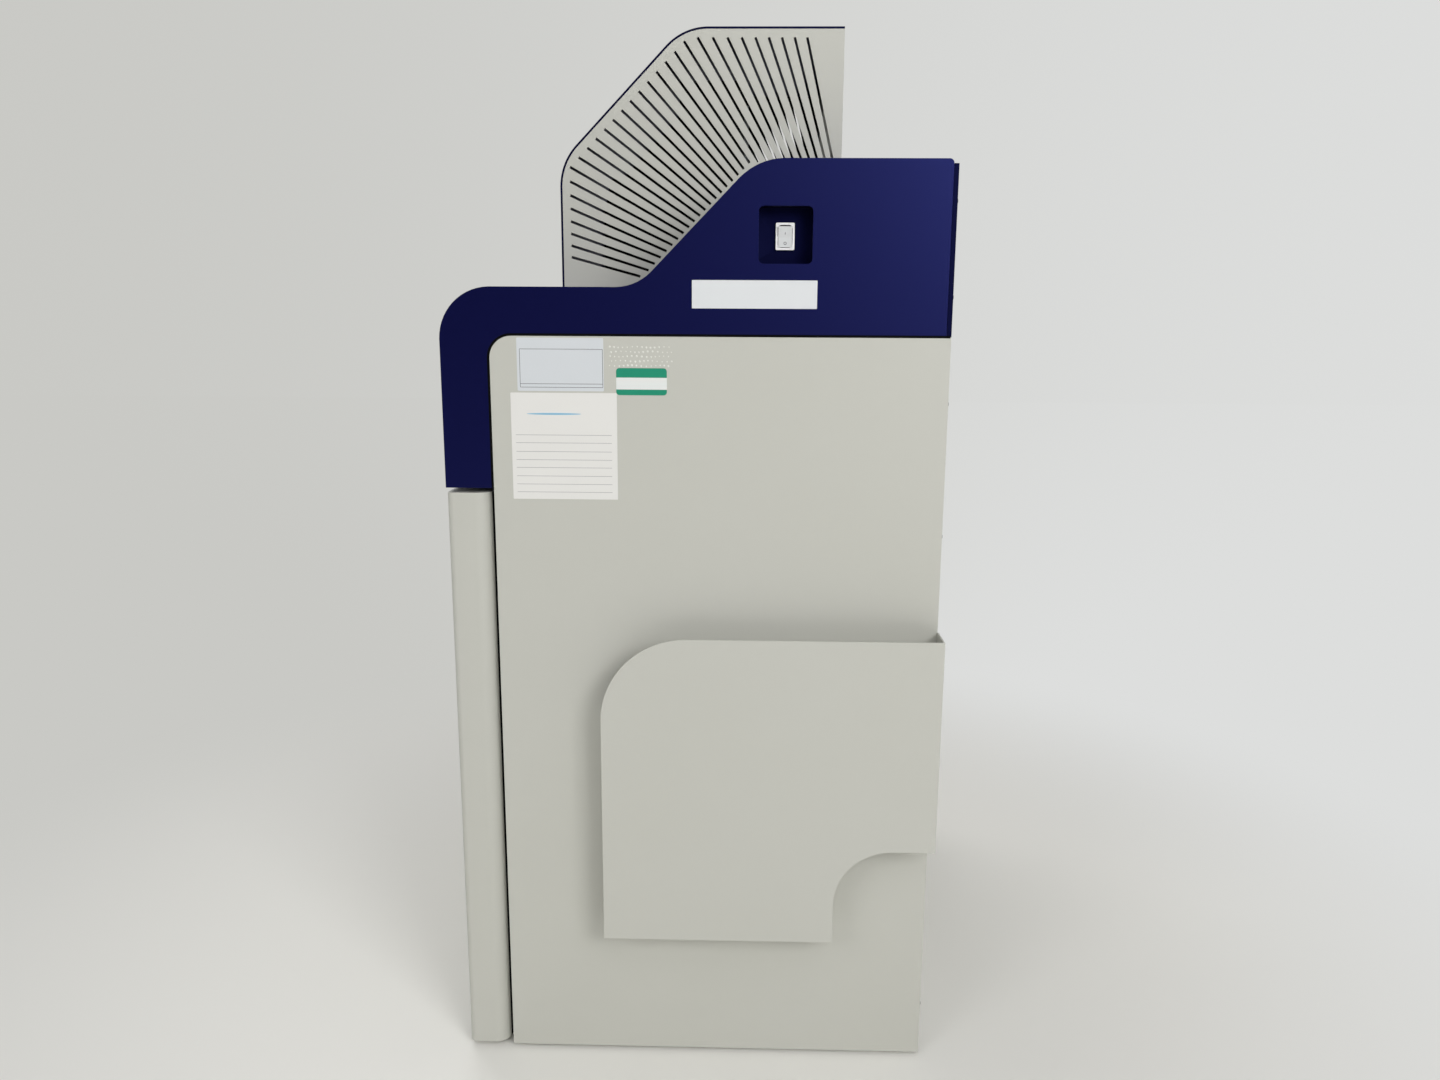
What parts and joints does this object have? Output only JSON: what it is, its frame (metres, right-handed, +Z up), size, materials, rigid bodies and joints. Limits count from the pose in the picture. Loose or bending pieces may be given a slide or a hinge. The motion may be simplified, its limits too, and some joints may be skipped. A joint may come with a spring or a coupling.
{
  "type": "gel documentation system",
  "caption": "Upright light-tight imaging cabinet with a front door, pull-out light table, lifting platform, camera under a slotted hood and a document pocket on its side.",
  "frame": {"origin": "on the bench under the middle of the overall box, side pocket included; the cabinet itself is centred 15 mm to the -X side of it", "axes": "+Z up, the door faces -Y, the side with the power switch and the pocket faces +X"},
  "size_m": [0.53, 0.4028, 0.883],
  "materials": {
    "beige_powder_coat": "fine satin powder coat",
    "navy_cover": "satin navy paint",
    "black_paint": "matt black paint",
    "zinc_steel": "zinc plated",
    "screw_steel": "blackened steel",
    "rubber_black": "matt",
    "seal_foam": "open-cell foam",
    "white_plastic": "fine texture",
    "grey_plastic": "satin film",
    "black_plastic": "fine texture",
    "board_green": "solder mask",
    "light_pipe": "clear green",
    "camera_aluminium": "black anodised",
    "lens_glass": "coated",
    "filter_glass": "coloured",
    "uv_glass": "ultraviolet pass filter",
    "tube_glass": "lamp tube",
    "platform_white": "opal sheet",
    "magnet": "ferrite",
    "grey_steel": "fine texture paint"
  },
  "bodies": {
    "cabinet": {"base_plate": "zinc_steel", "rubber_feet": "rubber_black", "foot_screws": "screw_steel", "right_side_panel": "beige_powder_coat", "left_side_panel": "beige_powder_coat", "rear_panel": "beige_powder_coat", "rear_panel_screws": "screw_steel", "front_frame": "black_paint", "door_seal": "seal_foam", "chamber_floor": "black_paint", "chamber_right_wall": "black_paint", "chamber_left_wall": "black_paint", "chamber_back_wall": "black_paint", "chamber_ceiling": "black_paint", "hinge_frame_leaves": "zinc_steel", "hinge_pins": "zinc_steel", "door_magnets": "magnet", "top_cover": "navy_cover", "rear_top_cover": "navy_cover", "rear_cover_screws": "screw_steel", "hood_wrap": "navy_cover", "hood_right_side": "beige_powder_coat", "hood_left_side": "beige_powder_coat", "hood_rear_panel": "beige_powder_coat", "hood_screws": "screw_steel", "side_pocket": "beige_powder_coat", "switch_housing": "white_plastic", "control_panel": "grey_plastic", "control_board": "board_green", "light_pipes": "light_pipe", "camera_shelf": "zinc_steel", "camera_bracket": "zinc_steel", "camera_body": "camera_aluminium", "lens_barrel": "camera_aluminium", "lens_glass": "lens_glass", "filter_motor": "grey_steel", "overhead_lamps": "white_plastic", "runner_rails": "zinc_steel", "mains_inlet": "black_plastic", "cooling_fan": "black_plastic"},
    "door": {"door_shell": "beige_powder_coat", "door_liner": "black_paint", "hinge_door_leaves": "zinc_steel", "door_strikers": "zinc_steel"},
    "tray": {"pull_out_tray": "zinc_steel", "light_table": "grey_steel", "table_glass": "uv_glass", "table_tubes": "tube_glass"},
    "runners": {"runner_slides": "zinc_steel"},
    "platform": {"sample_platform": "platform_white"},
    "power_rocker": {"switch_rocker": "white_plastic"},
    "white_button": {"white_light_button": "white_plastic"},
    "uv_button": {"uv_light_button": "white_plastic"},
    "table_button": {"table_light_button": "white_plastic"},
    "filter_key": {"filter_button": "white_plastic"},
    "zoom": {"zoom_ring": "camera_aluminium"},
    "focus": {"focus_ring": "camera_aluminium"},
    "wheel": {"filter_wheel": "camera_aluminium", "filter_glasses": "filter_glass"},
    "rotor": {"fan_rotor": "black_plastic"}
  },
  "joints": [
    {"name": "door_swing", "type": "hinge", "parent": "cabinet", "child": "door", "pos_m": [-0.2615, -0.1645, 0.25], "axis": [0, 0, -1], "range_deg": [0, 110]},
    {"name": "tray_slide", "type": "slide", "parent": "cabinet", "child": "tray", "axis": [0, -1, 0], "range_m": [0, 0.289]},
    {"name": "runner_slide", "type": "slide", "parent": "cabinet", "child": "runners", "axis": [0, -1, 0], "range_m": [0, 0.145]},
    {"name": "platform_lift", "type": "slide", "parent": "cabinet", "child": "platform", "axis": [0, 0, 1], "range_m": [0, 0.18]},
    {"name": "power_rock", "type": "hinge", "parent": "cabinet", "child": "power_rocker", "pos_m": [0.2189, 0.0705, 0.7067], "axis": [0, -1, 0], "range_deg": [0, 16]},
    {"name": "white_press", "type": "slide", "parent": "cabinet", "child": "white_button", "axis": [0, 1, 0], "range_m": [0, 0.002], "stiffness_N_per_m": 400},
    {"name": "uv_press", "type": "slide", "parent": "cabinet", "child": "uv_button", "axis": [0, 1, 0], "range_m": [0, 0.002], "stiffness_N_per_m": 400},
    {"name": "table_press", "type": "slide", "parent": "cabinet", "child": "table_button", "axis": [0, 1, 0], "range_m": [0, 0.002], "stiffness_N_per_m": 400},
    {"name": "filter_press", "type": "slide", "parent": "cabinet", "child": "filter_key", "axis": [0, 1, 0], "range_m": [0, 0.002], "stiffness_N_per_m": 400},
    {"name": "zoom_turn", "type": "hinge", "parent": "cabinet", "child": "zoom", "pos_m": [-0.015, 0.0065, 0.6268], "axis": [0, 0, 1], "range_deg": [0, 90]},
    {"name": "focus_turn", "type": "hinge", "parent": "cabinet", "child": "focus", "pos_m": [-0.015, 0.0065, 0.5768], "axis": [0, 0, 1], "range_deg": [0, 150]},
    {"name": "wheel_turn", "type": "hinge", "parent": "cabinet", "child": "wheel", "pos_m": [-0.015, 0.0645, 0.5108], "axis": [0, 0, 1], "continuous": true},
    {"name": "fan_spin", "type": "hinge", "parent": "cabinet", "child": "rotor", "pos_m": [0.105, 0.185, 0.424], "axis": [0, 1, 0], "continuous": true}
  ],
  "couplings": [
    {"joint": "tray_slide", "follows": "door_swing", "m_per_rad": 0.15},
    {"joint": "runner_slide", "follows": "door_swing", "m_per_rad": 0.075}
  ]
}
